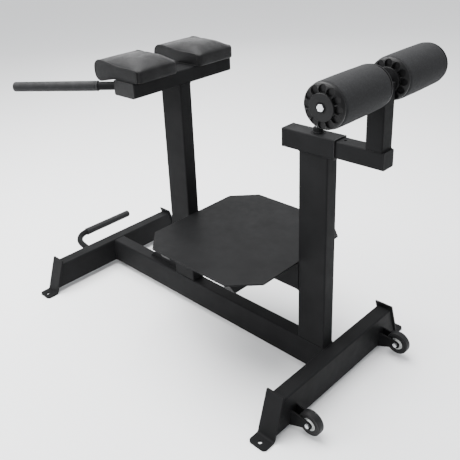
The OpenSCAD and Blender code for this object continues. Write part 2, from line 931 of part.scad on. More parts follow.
module at_wheel(side) {
    place() translate([wheel_x, side * wheel_y, wheel_z]) children();
}

// One cheek, from the cross tube's rear face to the eye round the axle
module cheek_outline() {
    root_z = rail_top - rear_tube_h + 2 - wheel_z;
    difference() {
        union() {
            circle(eye_r);
            polygon([[-wheel_back, root_z], [-3, -eye_r], [3, eye_r - 0.5],
                     [0, eye_r], [-wheel_back, root_z + root_h]]);
        }
        circle(m8_r + 0.1);
    }
}

module fork(side) {
    at_wheel(side) for (s = [-1, 1])
        translate([0, s * fork_gap + (s > 0 ? cheek_t : 0), 0]) rotate([90, 0, 0])
            linear_extrude(cheek_t) cheek_outline();
}

module left_fork() {
    color("#1f2022") fork(-1);
}

module right_fork() {
    color("#1f2022") fork(1);
}

rim_r = wheel_d / 2 - 17;

module wheel_core(side) {
    hub_r = 13.5;
    dish = 4;
    half = wheel_w / 2;
    color("#c9cac8") at_wheel(side) rotate([90, 0, 0]) rotate_extrude() polygon([
        [wheel_bore, -half - 1], [hub_r, -half - 1], [hub_r + 1, -dish], [rim_r - 4, -dish],
        [rim_r - 3, -half + 2], [rim_r, -half + 2], [rim_r, half - 2], [rim_r - 3, half - 2],
        [rim_r - 4, dish], [hub_r + 1, dish], [hub_r, half + 1], [wheel_bore, half + 1]]);
}

module tyre(side) {
    half = wheel_w / 2;
    edge = 4;
    color("#151617") at_wheel(side) rotate([90, 0, 0]) rotate_extrude() polygon(concat(
        [[rim_r, -half]],
        arc([wheel_d / 2 - edge, -half + edge], edge, -90, 0, 5),
        arc([wheel_d / 2 - edge, half - edge], edge, 0, 90, 5),
        [[rim_r, half]]));
}

module left_wheel() {
    wheel_core(-1);
}

module right_wheel() {
    wheel_core(1);
}

module left_tyre() {
    tyre(-1);
}

module right_tyre() {
    tyre(1);
}

fork_half = fork_gap + cheek_t;
nut_h = 6.8;

module wheel_bolts() {
    color("#c4c7ca") for (side = [-1, 1]) at_wheel(side) mirror([0, side < 0 ? 1 : 0, 0])
        translate([0, fork_half + m8_head, 0]) rotate([90, 0, 0]) union() {
            hex_bar(m8_flats, m8_head);
            cylinder(m8_head + 2 * fork_half + nut_h + 2, r = m8_r);
        }
}

module wheel_nuts() {
    color("#b9bcc0") for (side = [-1, 1]) at_wheel(side) mirror([0, side < 0 ? 1 : 0, 0])
        translate([0, -fork_half, 0]) rotate([90, 0, 0]) difference() {
            hex_bar(m8_flats, nut_h);
            translate([0, 0, -over]) cylinder(nut_h + 2 * over, r = m8_r + 0.05);
        }
}

main_rail();
front_cross_tube();
rear_cross_tube();
front_left_foot();
front_right_foot();
rear_left_foot();
rear_right_foot();
front_upright();
rear_upright();
tie_tube();
front_gusset();
platform();
front_arms();
rear_arms();
pad_beam();
beam_caps();
left_pad();
right_pad();
left_pad_board();
right_pad_board();
pad_bolts();
pad_washers();
pad_tee_nuts();
left_handle_bar();
right_handle_bar();
left_grip();
right_grip();
lift_bar();
lift_grip();
sleeve();
sleeve_liners();
pin_boss();
pin_barrel();
pin_spring();
pin_plunger();
pin_knob();
carriage_tube();
carriage_plug();
carriage_end_plate();
roller_post();
roller_axle();
left_roller_tube();
left_outer_cap();
left_inner_cap();
left_foam();
right_roller_tube();
right_outer_cap();
right_inner_cap();
right_foam();
roller_washers();
roller_bolts();
left_fork();
right_fork();
left_wheel();
right_wheel();
left_tyre();
right_tyre();
wheel_bolts();
wheel_nuts();
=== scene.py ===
"""Looks of the roman chair: camera, studio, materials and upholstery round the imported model.

Measures are in metres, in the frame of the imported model: +X towards the ankle rollers, +Y to the
right-hand pad, +Z up.
"""
import json
import math

import bmesh
import bpy
from mathutils import Matrix, Vector
from mathutils.bvhtree import BVHTree
from mathutils.noise import noise


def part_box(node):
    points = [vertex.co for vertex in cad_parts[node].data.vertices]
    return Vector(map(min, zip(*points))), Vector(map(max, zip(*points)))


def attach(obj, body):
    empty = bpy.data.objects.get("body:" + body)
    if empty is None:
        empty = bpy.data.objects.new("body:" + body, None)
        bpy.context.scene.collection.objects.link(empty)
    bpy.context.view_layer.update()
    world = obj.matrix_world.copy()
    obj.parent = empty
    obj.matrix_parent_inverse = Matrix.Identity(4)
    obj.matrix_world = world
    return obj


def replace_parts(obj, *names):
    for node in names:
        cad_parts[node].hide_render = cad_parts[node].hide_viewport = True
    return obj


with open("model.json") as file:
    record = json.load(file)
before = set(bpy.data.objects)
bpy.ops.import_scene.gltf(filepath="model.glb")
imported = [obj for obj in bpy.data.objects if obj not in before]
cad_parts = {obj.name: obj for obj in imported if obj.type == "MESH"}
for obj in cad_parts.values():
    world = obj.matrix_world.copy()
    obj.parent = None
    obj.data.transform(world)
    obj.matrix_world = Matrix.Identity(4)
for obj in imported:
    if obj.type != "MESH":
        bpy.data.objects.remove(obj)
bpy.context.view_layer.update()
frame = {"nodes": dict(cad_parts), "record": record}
nodes = frame["nodes"]

X, Y, Z = Vector((1, 0, 0)), Vector((0, 1, 0)), Vector((0, 0, 1))
HALF_TUBE = 0.025                # half the width of the frame's tube
FOOT_LEAN = math.radians(18.5)   # of the cross tubes' cut ends, from upright
HANDLE_ANGLE = math.radians(36)  # between a handle bar and the middle plane
HANDLE_R, LIFT_BAR_R = 0.014, 0.0125
FLOOR_HALF, FLOOR_DROP = 30, 0.0005  # the drop keeps the floor off the feet's own faces


def put(name, data):
    """A new object in the scene that holds this data."""
    made = bpy.data.objects.new(name, data)
    bpy.context.scene.collection.objects.link(made)
    return made


# ---------------------------------------------------------------- camera
def make_camera():
    """A 50 mm camera at the machine's rear left, higher than the rollers, looking down along it."""
    azimuth, elevation, roll = map(math.radians, (47.81, 22.50, -3.82))
    place = (1.4979, -1.4020, 1.4546)
    back = Vector((math.sin(azimuth) * math.cos(elevation),
                   -math.cos(azimuth) * math.cos(elevation),
                   math.sin(elevation)))
    right = Vector((math.cos(azimuth), math.sin(azimuth), 0))
    up = back.cross(right)
    x_axis = right * math.cos(roll) + up * math.sin(roll)
    y_axis = up * math.cos(roll) - right * math.sin(roll)
    turn = Matrix((x_axis, y_axis, back)).transposed()
    data = bpy.data.cameras.new("camera")
    data.sensor_width, data.lens = 36, 49.75
    data.shift_x, data.shift_y = 0.087, -0.141
    camera = put("camera", data)
    camera.matrix_world = Matrix.Translation(place) @ turn.to_4x4()
    bpy.context.scene.camera = camera


make_camera()


# ---------------------------------------------------------------- studio
def area_light(name, place, aim, size, power):
    """A rectangular lamp, its size in metres and its power in watts, facing aim."""
    data = bpy.data.lights.new(name, "AREA")
    data.shape = "RECTANGLE"
    data.size, data.size_y = size
    data.energy = power
    light = put(name, data)
    light.location = place
    light.rotation_mode = "QUATERNION"
    light.rotation_quaternion = (Vector(aim) - Vector(place)).to_track_quat("-Z", "Y")


def make_studio():
    """Three soft boxes in a pale room, and a pale floor that runs out of sight."""
    area_light("top_softbox", (-0.6, -0.1, 3.2), (0, 0, 0.3), (3.0, 3.0), 310)
    area_light("left_softbox", (-1.8, -3.2, 2.3), (0, 0, 0.6), (2.2, 1.6), 110)
    area_light("far_softbox", (-3.2, 3.0, 2.0), (0, 0, 0.6), (2.6, 1.6), 24)
    world = bpy.data.worlds.new("studio")
    world.use_nodes = True
    background = world.node_tree.nodes["Background"].inputs
    background["Color"].default_value = (0.97, 0.98, 1.0, 1)
    background["Strength"].default_value = 1.15
    bpy.context.scene.world = world
    half = FLOOR_HALF
    mesh = bpy.data.meshes.new("floor")
    mesh.from_pydata([(-half, -half, 0), (half, -half, 0), (half, half, 0), (-half, half, 0)],
                     [], [(0, 1, 2, 3)])
    floor = put("floor", mesh)
    floor.location.z = -FLOOR_DROP
    material = bpy.data.materials.new("floor")
    material.use_nodes = True
    shader = material.node_tree.nodes["Principled BSDF"]
    shader.inputs["Base Color"].default_value = (0.93, 0.935, 0.94, 1)
    shader.inputs["Roughness"].default_value = 0.9
    floor.data.materials.append(material)


make_studio()


# ---------------------------------------------------------------- materials
def toned(colour, by, lift=0.0):
    """A colour made darker or lighter by a factor, and lifted."""
    return tuple(c * by + lift for c in colour)


class Material:
    """A procedural material. Its pattern sizes are in metres on the object."""

    def __init__(self, name, colour, rough, metallic=0.0, specular=0.5):
        self.made = bpy.data.materials.new(name)
        self.made.use_nodes = True
        self.tree = self.made.node_tree
        self.shader = self.tree.nodes["Principled BSDF"]
        self.shader.inputs["Metallic"].default_value = metallic
        self.shader.inputs["Specular IOR Level"].default_value = specular
        self.where = self.node("ShaderNodeTexCoord").outputs["Object"]
        self.colour = self.rgb(colour)
        self.rough = self.value(rough)
        self.normal = None

    def node(self, kind, **values):
        made = self.tree.nodes.new(kind)
        for key, value in values.items():
            setattr(made, key, value)
        return made

    def link(self, a, b):
        self.tree.links.new(a, b)

    def rgb(self, colour):
        made = self.node("ShaderNodeRGB")
        made.outputs[0].default_value = (*colour, 1)
        return made.outputs[0]

    def value(self, number):
        made = self.node("ShaderNodeValue")
        made.outputs[0].default_value = number
        return made.outputs[0]

    def stretched(self, scale):
        made = self.node("ShaderNodeMapping")
        made.inputs["Scale"].default_value = scale
        self.link(self.where, made.inputs["Vector"])
        return made.outputs["Vector"]

    def noise(self, size, detail=3, roughness=0.5, where=None):
        made = self.node("ShaderNodeTexNoise")
        made.inputs["Scale"].default_value = 1 / size
        made.inputs["Detail"].default_value = detail
        made.inputs["Roughness"].default_value = roughness
        self.link(where or self.where, made.inputs["Vector"])
        return made.outputs[0]

    def cells(self, size, feature="F1", where=None):
        made = self.node("ShaderNodeTexVoronoi", feature=feature)
        made.inputs["Scale"].default_value = 1 / size
        self.link(where or self.where, made.inputs["Vector"])
        return made.outputs["Distance"]

    def remap(self, source, low, high, to_low, to_high):
        """Maps low to high on to another range, and clamps the result to it."""
        made = self.node("ShaderNodeMapRange")
        for key, number in (("From Min", low), ("From Max", high),
                            ("To Min", to_low), ("To Max", to_high)):
            made.inputs[key].default_value = number
        self.link(source, made.inputs["Value"])
        return made.outputs["Result"]

    def maths(self, operation, a, b):
        made = self.node("ShaderNodeMath", operation=operation)
        for slot, term in enumerate((a, b)):
            if isinstance(term, (int, float)):
                made.inputs[slot].default_value = term
            else:
                self.link(term, made.inputs[slot])
        return made.outputs[0]

    def tint(self, colour, amount):
        """Mixes another colour in, by amount."""
        made = self.node("ShaderNodeMix", data_type="RGBA")
        self.link(amount, made.inputs["Factor"])
        self.link(self.colour, made.inputs["A"])
        made.inputs["B"].default_value = (*colour, 1)
        self.colour = made.outputs["Result"]

    def vary_rough(self, source, low, high, by):
        self.rough = self.maths("ADD", self.rough, self.remap(source, low, high, -by, by))

    def bump(self, height, depth, strength=1.0):
        made = self.node("ShaderNodeBump")
        made.inputs["Strength"].default_value = strength
        made.inputs["Distance"].default_value = depth
        self.link(height, made.inputs["Height"])
        if self.normal:
            self.link(self.normal, made.inputs["Normal"])
        self.normal = made.outputs["Normal"]

    def soft_edges(self, radius):
        """Rounds hard edges in the shading, and gives a mask of those edges."""
        flat_cos, edge_cos = 0.97, 0.8  # between the rounded normal and the true one
        bevel = self.node("ShaderNodeBevel", samples=6)
        bevel.inputs["Radius"].default_value = radius
        self.normal = bevel.outputs["Normal"]
        flat = self.node("ShaderNodeNewGeometry").outputs["Normal"]
        dot = self.node("ShaderNodeVectorMath", operation="DOT_PRODUCT")
        self.link(self.normal, dot.inputs[0])
        self.link(flat, dot.inputs[1])
        return self.remap(dot.outputs["Value"], flat_cos, edge_cos, 0, 1)

    def done(self):
        self.link(self.colour, self.shader.inputs["Base Color"])
        self.link(self.rough, self.shader.inputs["Roughness"])
        if self.normal:
            self.link(self.normal, self.shader.inputs["Normal"])
        return self.made


def powder_coat(name, colour, rough, worn, specular=0.04):
    """Satin powder coat: orange peel, uneven gloss, and edges rubbed a little lighter."""
    m = Material(name, colour, rough, specular=specular)
    edges = m.soft_edges(0.0014)
    scuffs = m.remap(m.noise(0.012, 4), 0.42, 0.66, 0, 1)
    m.tint(toned(colour, 0.72), m.remap(m.noise(0.11, 2), 0.35, 0.7, 0, 0.8))
    m.tint(worn, m.maths("MULTIPLY", edges, m.remap(scuffs, 0, 1, 0.25, 0.7)))
    m.vary_rough(m.noise(0.03, 4), 0.3, 0.7, 0.05)
    m.bump(m.noise(0.0016, 2), 0.00016, 0.45)
    m.bump(m.cells(0.00045), 0.00006, 0.5)
    return m.done()


def grained_plastic(name, colour, rough, specular=0.22):
    """Moulded plastic: a spark-eroded grain, softened edges, and a painted highlight that makes
    those edges lighter.
    """
    m = Material(name, colour, rough, specular=specular)
    edges = m.soft_edges(0.0008)
    # painted highlight: the edges are painted lighter, standing in for the light that glossy edges
    # catch
    m.tint(toned(colour, 1.5, 0.004), m.maths("MULTIPLY", edges, 0.3))
    m.tint(toned(colour, 0.7), m.remap(m.noise(0.04, 3), 0.4, 0.7, 0, 0.7))
    m.vary_rough(m.noise(0.01, 3), 0.3, 0.7, 0.07)
    m.bump(m.noise(0.0007, 3), 0.00012, 0.6)
    return m.done()


def zinc_plate(name, colour, rough):
    """Bright zinc on steel: fine turning marks and cloudy roughness."""
    m = Material(name, colour, rough, metallic=1.0)
    m.soft_edges(0.0006)
    m.tint(toned(colour, 0.78), m.remap(m.noise(0.006, 4), 0.35, 0.7, 0, 0.8))
    m.vary_rough(m.noise(0.002, 4), 0.3, 0.7, 0.1)
    m.bump(m.noise(0.001, 3, where=m.stretched((1, 0.15, 1))), 0.00008, 0.4)
    return m.done()


def rubber(name, colour, rough, grain=0.0009, specular=0.15):
    """Rubber: matt, with a dusty bloom on a fine grain."""
    m = Material(name, colour, rough, specular=specular)
    m.tint(toned(colour, 1.7, 0.004), m.remap(m.noise(0.018, 5, 0.6), 0.45, 0.75, 0, 0.6))
    m.vary_rough(m.noise(0.02, 3), 0.3, 0.7, 0.06)
    m.bump(m.cells(grain), 0.00018, 0.6)
    m.bump(m.noise(grain * 3, 3), 0.0002, 0.4)
    return m.done()


def closed_cell_foam(name, colour):
    """The skin of a foam roll: small pores with painted shade in them, soft dents and a dry
    surface.
    """
    pore = 0.0016
    m = Material(name, colour, 0.8, specular=0.12)
    m.tint(toned(colour, 1.8), m.remap(m.noise(0.004, 5, 0.7), 0.45, 0.7, 0, 0.7))
    # painted shade: each pore is painted darker towards its middle, where shade would fall in the
    # pit
    m.tint(toned(colour, 0.4), m.remap(m.cells(pore), 0.0, 0.25, 0.7, 0))
    m.bump(m.noise(0.014, 3), 0.0012, 0.35)
    m.bump(m.cells(pore), 0.0004, 0.6)
    return m.done()


def leatherette(name, colour):
    """Upholstery vinyl: pebbled grain with creases, and a sheen that varies with handling."""
    pebble, crease_bend, crease_scale = 0.0017, 0.0009, 300
    m = Material(name, colour, 0.40, specular=0.11)
    bent = m.node("ShaderNodeVectorMath", operation="MULTIPLY_ADD")
    drift = m.node("ShaderNodeTexNoise")
    drift.inputs["Scale"].default_value = crease_scale
    m.link(m.where, drift.inputs["Vector"])
    m.link(drift.outputs["Color"], bent.inputs[0])
    bent.inputs[1].default_value = (crease_bend,) * 3
    m.link(m.where, bent.inputs[2])
    pebbles = m.cells(pebble, "DISTANCE_TO_EDGE", where=bent.outputs[0])
    m.tint(toned(colour, 1.9, 0.003), m.remap(m.noise(0.05, 4), 0.45, 0.75, 0, 0.7))
    m.vary_rough(m.noise(0.03, 4), 0.3, 0.7, 0.08)
    m.bump(m.noise(0.02, 4), 0.0004, 0.3)
    m.bump(m.remap(pebbles, 0, 0.18, 0, 1), 0.00022, 0.7)
    return m.done()


def plywood(name, light, dark):
    """Birch plywood: plies on edge and streaky grain on the face."""
    ply_wave = 0.0048
    m = Material(name, light, 0.6)
    grain = m.noise(0.004, 5, 0.6, where=m.stretched((0.12, 1, 1)))
    ply = m.node("ShaderNodeTexWave", wave_type="BANDS", bands_direction="Z")
    ply.inputs["Scale"].default_value = 1 / ply_wave
    ply.inputs["Distortion"].default_value = 0.6
    m.link(m.where, ply.inputs["Vector"])
    m.tint(dark, m.remap(grain, 0.4, 0.7, 0, 0.6))
    m.tint(dark, m.remap(ply.outputs["Fac"], 0.4, 0.6, 0, 0.55))
    m.bump(grain, 0.0003, 0.4)
    return m.done()


looks = {
    "frame_paint": powder_coat("frame_paint", (0.0105, 0.0106, 0.0110), 0.46,
                               (0.034, 0.034, 0.035), 0.03),
    "platform_paint": powder_coat("platform_paint", (0.0112, 0.0113, 0.0117), 0.50,
                                  (0.04, 0.04, 0.04)),
    "cap_plastic": grained_plastic("cap_plastic", (0.0060, 0.0060, 0.0063), 0.40, 0.14),
    "pad_cover": leatherette("pad_cover", (0.0064, 0.0064, 0.0067)),
    "plywood": plywood("plywood", (0.50, 0.35, 0.20), (0.30, 0.18, 0.09)),
    "zinc_steel": zinc_plate("zinc_steel", (0.70, 0.71, 0.73), 0.28),
    "grip_rubber": rubber("grip_rubber", (0.0125, 0.0126, 0.0132), 0.55),
    "foam": closed_cell_foam("foam", (0.0165, 0.0167, 0.0174)),
    "wheel_hub": grained_plastic("wheel_hub", (0.60, 0.61, 0.60), 0.4),
    "wheel_tyre": rubber("wheel_tyre", (0.0075, 0.0075, 0.0079), 0.5, 0.0012),
}
for part in frame["record"]["subparts"]:
    mesh = nodes[part["node"]].data
    mesh.materials.clear()
    mesh.materials.append(looks[part["material_slot"]])


def add_piece(name, mesh, body, slot):
    """Puts a mesh into the scene as a piece of the object, on a body, in a slot's material."""
    piece = put(name, mesh)
    mesh.materials.clear()
    mesh.materials.append(looks[slot])
    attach(piece, body)
    return piece


def shade_smooth(mesh):
    """Smooth shading on every face."""
    for polygon in mesh.polygons:
        polygon.use_smooth = True


def sharpen(mesh, degrees):
    """Smooth shading that keeps edges sharper than an angle."""
    work = bmesh.new()
    work.from_mesh(mesh)
    for edge in work.edges:
        edge.smooth = len(edge.link_faces) == 2 and edge.calc_face_angle(0) < math.radians(degrees)
    for face in work.faces:
        face.smooth = True
    work.to_mesh(mesh)
    work.free()


def closed_mesh(name, verts, faces):
    """A mesh of these vertices and faces, its faces turned outwards."""
    mesh = bpy.data.meshes.new(name)
    mesh.from_pydata(verts, [], faces)
    work = bmesh.new()
    work.from_mesh(mesh)
    bmesh.ops.recalc_face_normals(work, faces=work.faces)
    work.to_mesh(mesh)
    work.free()
    return mesh


def lathe(name, profile, turn, sides, ripple=None):
    """Turns (along, radius) points round the local Z axis of the matrix turn, as a closed skin."""
    verts, faces = [], []
    for along, radius in profile:
        for side in range(sides):
            angle = 2 * math.pi * side / sides
            r = radius + (ripple(along, angle) if ripple else 0)
            verts.append(turn @ Vector((r * math.cos(angle), r * math.sin(angle), along)))
    rings = len(profile)
    for ring in range(rings):
        here, after = ring * sides, (ring + 1) % rings * sides
        for side in range(sides):
            k = (side + 1) % sides
            faces.append((here + side, here + k, after + k, after + side))
    return closed_mesh(name, verts, faces)


def arc(cx, cy, r, start, end, steps):
    """Points along an arc, angles in degrees."""
    angles = [math.radians(start + (end - start) * i / steps) for i in range(steps + 1)]
    return [(cx + r * math.cos(a), cy + r * math.sin(a)) for a in angles]


def middle(node):
    """The middle of a node's box."""
    low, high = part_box(node)
    return (low + high) / 2


def across_turn(node):
    """The placing of a lathed piece at a node's middle, its axis along Y."""
    return Matrix.Translation(middle(node)) @ Matrix.Rotation(math.radians(-90), 4, "X")


# ---------------------------------------------------------------- foam rolls
def foam_roll(name, node, body, seed):
    """A foam roll on its tube: rounded ends, a slightly full middle and shallow dents."""
    low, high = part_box(node)
    half, outer = (high.y - low.y) / 2, (high.z - low.z) / 2 - 0.0002
    bore, wall, edge, fullness, dent = 0.0302, 0.012, 0.009, 0.0006, 0.00035
    round_scale, along_scale = 3.1, 22  # of the dents' noise

    def ripple(along, angle):
        point = Vector((math.cos(angle) * round_scale, math.sin(angle) * round_scale,
                        along * along_scale + seed))
        return dent * noise(point)

    profile = [(-half, bore), (-half, bore + wall)]
    profile += arc(-half + edge, outer - edge - fullness, edge, 180, 90, 9)
    steps = 44
    for i in range(1, steps):
        t = i / steps
        along = (-half + edge) * (1 - t) + (half - edge) * t
        profile.append((along, outer - fullness * (2 * t - 1) ** 2))
    profile += arc(half - edge, outer - edge - fullness, edge, 90, 0, 9)
    profile += [(half, bore + wall), (half, bore)]
    mesh = lathe(name, profile, across_turn(node), sides=128, ripple=ripple)
    sharpen(mesh, degrees=50)
    piece = add_piece(name, mesh, body, "foam")
    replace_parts(piece, node)


foam_roll("left_foam_roll", "left_foam", "left_roller", 0.0)
foam_roll("right_foam_roll", "right_foam", "right_roller", 7.3)


# ---------------------------------------------------------------- rubber grips
def grip(name, node, direction, length, radius, bore):
    """A pushed-on rubber grip: flange and groove at its mouth, faint rings, rounded closed end."""
    start, end = -length / 2, length / 2
    ring_step, ring_depth, play, taper = 0.0022, 0.00022, 0.0004, 0.0006
    end_round, end_wall, pinhole = 0.008, 0.004, 0.0005
    mouth = ((0, -0.001), (0.001, 0), (0.0045, 0), (0.0055, -0.0007),
             (0.0065, -0.0016), (0.0085, -0.0016), (0.0100, -0.0005))
    profile = [(start, bore)] + [(start + along, radius + step) for along, step in mouth]
    body_start, body_end = start + 0.012, end - 0.009
    rings = int((body_end - body_start) / ring_step)
    for i in range(rings + 1):
        t = i / rings
        groove = ring_depth * (i % 2)
        profile.append((body_start + (body_end - body_start) * t,
                        radius - play - taper * t - groove))
    profile += arc(end - end_round, radius - 0.009, end_round, 90, 15, 7)
    profile += [(end, 0.004), (end, pinhole), (end - end_wall, pinhole), (end - end_wall, bore)]
    turn = direction.to_track_quat("Z", "Y").to_matrix().to_4x4()
    mesh = lathe(name, profile, Matrix.Translation(middle(node)) @ turn, sides=72)
    sharpen(mesh, degrees=40)
    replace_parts(add_piece(name, mesh, "frame", "grip_rubber"), node)


def push_on_grips():
    """The two handles' grips and the lifting handle's."""
    for side, node in ((-1, "left_grip"), (1, "right_grip")):
        along = Vector((-math.cos(HANDLE_ANGLE), side * math.sin(HANDLE_ANGLE), 0))
        grip(node + "_rubber", node, along, length=0.2998, radius=0.0175, bore=HANDLE_R)
    low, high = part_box("lift_grip")
    grip("lift_grip_rubber", "lift_grip", Y, high.y - low.y, radius=0.016, bore=LIFT_BAR_R)


push_on_grips()


# ---------------------------------------------------------------- tyres
def tyre(name, node, body):
    """A solid tyre: ringed side walls, round shoulders and a flat tread."""
    low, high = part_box(node)
    half, outer = (high.y - low.y) / 2, (high.z - low.z) / 2
    seat = outer - 0.017  # the hub's rim
    shoulder_along, shoulder_radius, shoulder = 0.0036, 0.0037, 0.0034
    wall = [(half, seat), (half, seat + 0.0030), (half - 0.0012, seat + 0.0038),
            (half - 0.0012, seat + 0.0052), (half - 0.0002, seat + 0.0062),
            (half - 0.0014, seat + 0.0100), (half - 0.0004, outer - 0.0042)]
    profile = [(-along, radius) for along, radius in wall]
    profile += arc(-half + shoulder_along, outer - shoulder_radius, shoulder, 172, 92, 6)
    profile += arc(half - shoulder_along, outer - shoulder_radius, shoulder, 88, 8, 6)
    profile += wall[::-1]
    mesh = lathe(name, profile, across_turn(node), sides=96)
    sharpen(mesh, degrees=40)
    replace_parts(add_piece(name, mesh, body, "wheel_tyre"), node)


tyre("left_tyre_ringed", "left_tyre", "left_wheel")
tyre("right_tyre_ringed", "right_tyre", "right_wheel")


# ---------------------------------------------------------------- weld beads
def resample(path, step, closed):
    """Points a fixed step apart along a path, which runs back to its start if closed."""
    ends = path + [path[0]] if closed else path
    spots = [ends[0]]
    left = step
    for a, b in zip(ends, ends[1:]):
        run = (b - a).length
        done = 0
        while run - done >= left:
            done += left
            spots.append(a.lerp(b, done / run))
            left = step
        left -= run - done
    return spots


def bead(name, path, radius, body="frame", closed=True):
    """A weld bead: a cord whose thickness ripples with every drop of filler."""
    step, least_gap, drop_steps, sides, grain = 0.0011, 0.0008, 4, 7, 260
    path = resample(path, step, closed)
    if closed and (path[-1] - path[0]).length < least_gap:
        path.pop()
    verts, faces = [], []
    count = len(path)
    for i, point in enumerate(path):
        before = path[i - 1] if i or closed else point
        after = path[(i + 1) % count] if i < count - 1 or closed else point
        ahead = (after - before).normalized()
        flat = ahead.orthogonal().normalized()
        lift = ahead.cross(flat)
        drop = (i % drop_steps) / (drop_steps - 1)
        r = radius * (0.84 + 0.22 * drop + 0.10 * noise(point * grain))
        if not closed and i in (0, count - 1):
            r *= 0.3  # tapers the ends of an open bead
        for k in range(sides):
            a = 2 * math.pi * k / sides
            verts.append(point + r * (math.cos(a) * flat + math.sin(a) * lift))
    for i in range(count if closed else count - 1):
        j = (i + 1) % count
        first, second = verts[i * sides], [verts[j * sides + k] for k in range(sides)]
        turn = min(range(sides), key=lambda k: (second[k] - first).length)  # against twist
        for k in range(sides):
            m = (k + 1) % sides
            faces.append((i * sides + k, j * sides + (k + turn) % sides,
                          j * sides + (m + turn) % sides, i * sides + m))
    if not closed:
        faces.append(tuple(range(sides)))
        faces.append(tuple((count - 1) * sides + k for k in range(sides)))
    mesh = closed_mesh(name, verts, faces)
    shade_smooth(mesh)
    add_piece(name, mesh, body, "frame_paint")


def loop(centre, u, v, half_u, half_v, corner=0.005):
    """A rounded rectangle round centre, in the plane of the unit vectors u and v."""
    points = []
    for su, sv, start in ((1, 1, 0), (-1, 1, 90), (-1, -1, 180), (1, -1, 270)):
        middle_u, middle_v = su * (half_u - corner), sv * (half_v - corner)
        for a, b in arc(middle_u, middle_v, corner, start, start + 90, 4):
            points.append(centre + a * u + b * v)
    return points


def end_loop(node, axis, far):
    """The outline of a tube's end: far picks the end at the high side along the axis."""
    low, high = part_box(node)
    centre, half = (low + high) / 2, (high - low) / 2
    centre[axis] = high[axis] if far else low[axis]
    u, v = [k for k in range(3) if k != axis]
    return loop(centre, (X, Y, Z)[u], (X, Y, Z)[v], half[u], half[v])


def weld_tubes(thick):
    """Beads round both ends of the square-cut tubes."""
    tubes = (("front_upright", 2), ("rear_upright", 2), ("main_rail", 0), ("tie_tube", 0))
    for node, axis in tubes:
        for far in (False, True):
            bead(f"{node}_bead_{int(far)}", end_loop(node, axis, far), thick)


def weld_supports():
    """Beads along the gusset's two sides and round the platform's arms."""
    thin, corner = 0.0022, 0.001
    low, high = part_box("front_gusset")
    for side, y in ((0, low.y), (1, high.y)):
        path = [Vector((low.x, y, low.z)), Vector((high.x, y, low.z)), Vector((high.x, y, high.z))]
        bead(f"gusset_bead_{side}", path, thin, closed=False)
    for node in ("front_arms", "rear_arms"):
        low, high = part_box(node)
        half_x, half_z = (high.x - low.x) / 2, (high.z - low.z) / 2
        for side in (-1, 1):
            centre = Vector(((low.x + high.x) / 2, side * HALF_TUBE, (low.z + high.z) / 2))
            bead(f"{node}_bead_{side}", loop(centre, X, Z, half_x, half_z, corner), thin)


def weld_feet(thick):
    """Beads round the slanted ends of the cross tubes, where the foot plates are."""
    for end in ("front", "rear"):
        low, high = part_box(end + "_cross_tube")
        slope = (high.z - low.z) / 2 / math.cos(FOOT_LEAN)
        for side in (-1, 1):
            reach = high.y - (high.z - low.z) / 2 * math.tan(FOOT_LEAN)
            centre = Vector(((low.x + high.x) / 2, side * reach, (low.z + high.z) / 2))
            up = Vector((0, -side * math.sin(FOOT_LEAN), math.cos(FOOT_LEAN)))
            bead(f"{end}_foot_bead_{side}", loop(centre, X, up, HALF_TUBE, slope), thick)


def weld_bars(thick):
    """Beads round the handle bars, the lifting handle's leg and the pin's boss."""
    handle_y, leg_y, leg_z, leg_half_z = 0.198, -0.110, 0.075, 0.0127
    boss_r, boss_thick = 0.020, 0.0016
    low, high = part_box("pad_beam")
    for side in (-1, 1):
        centre = Vector((low.x, side * handle_y, (low.z + high.z) / 2))
        wide = HANDLE_R / math.cos(HANDLE_ANGLE)
        path = [centre + wide * math.cos(a / 16 * math.pi) * Y
                + HANDLE_R * math.sin(a / 16 * math.pi) * Z for a in range(32)]
        bead(f"handle_bead_{side}", path, thick)
    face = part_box("front_cross_tube")[0].x
    path = [Vector((face, leg_y + LIFT_BAR_R * math.cos(a / 16 * math.pi),
                    leg_z + leg_half_z * math.sin(a / 16 * math.pi))) for a in range(32)]
    bead("lift_bead", path, thick)
    low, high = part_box("pin_boss")
    centre = (low + high) / 2
    path = [Vector((centre.x + boss_r * math.cos(a / 24 * math.pi),
                    centre.y + boss_r * math.sin(a / 24 * math.pi), low.z)) for a in range(48)]
    bead("boss_bead", path, boss_thick)


def weld_wheel_forks():
    """Beads along the forks' plates, on the rear cross tube."""
    thin, from_z, to_z = 0.002, 0.002, 0.054
    for node in ("left_fork", "right_fork"):
        low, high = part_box(node)
        for side, y in ((0, low.y), (1, high.y)):
            path = [Vector((low.x, y, low.z + from_z)), Vector((low.x, y, low.z + to_z))]
            bead(f"{node}_bead_{side}", path, thin, closed=False)


def weld_post():
    """A bead round three sides of the roller post's foot, which rides on the carriage."""
    thin, front, corner = 0.0018, 0.008, 0.003
    low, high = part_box("roller_post")
    path = [(low.x + front, low.y), (high.x - corner, low.y), (high.x, low.y + corner),
            (high.x, high.y - corner), (high.x - corner, high.y), (low.x + front, high.y)]
    bead("post_bead", [Vector((x, y, low.z)) for x, y in path], thin, "carriage", closed=False)


def weld_all():
    """Beads at every joint of the welded frame and of the carriage."""
    thick = 0.0026
    weld_tubes(thick)
    weld_supports()
    weld_feet(thick)
    weld_bars(thick)
    weld_wheel_forks()
    weld_post()


weld_all()


# ---------------------------------------------------------------- thigh pads
PAD_BASE = 0.016  # height of a pad's underside, where its board is, over the bottom of its box


def ease(t):
    """A smooth step from 0 to 1."""
    return (1 - math.cos(math.pi * max(0.0, min(1.0, t)))) / 2


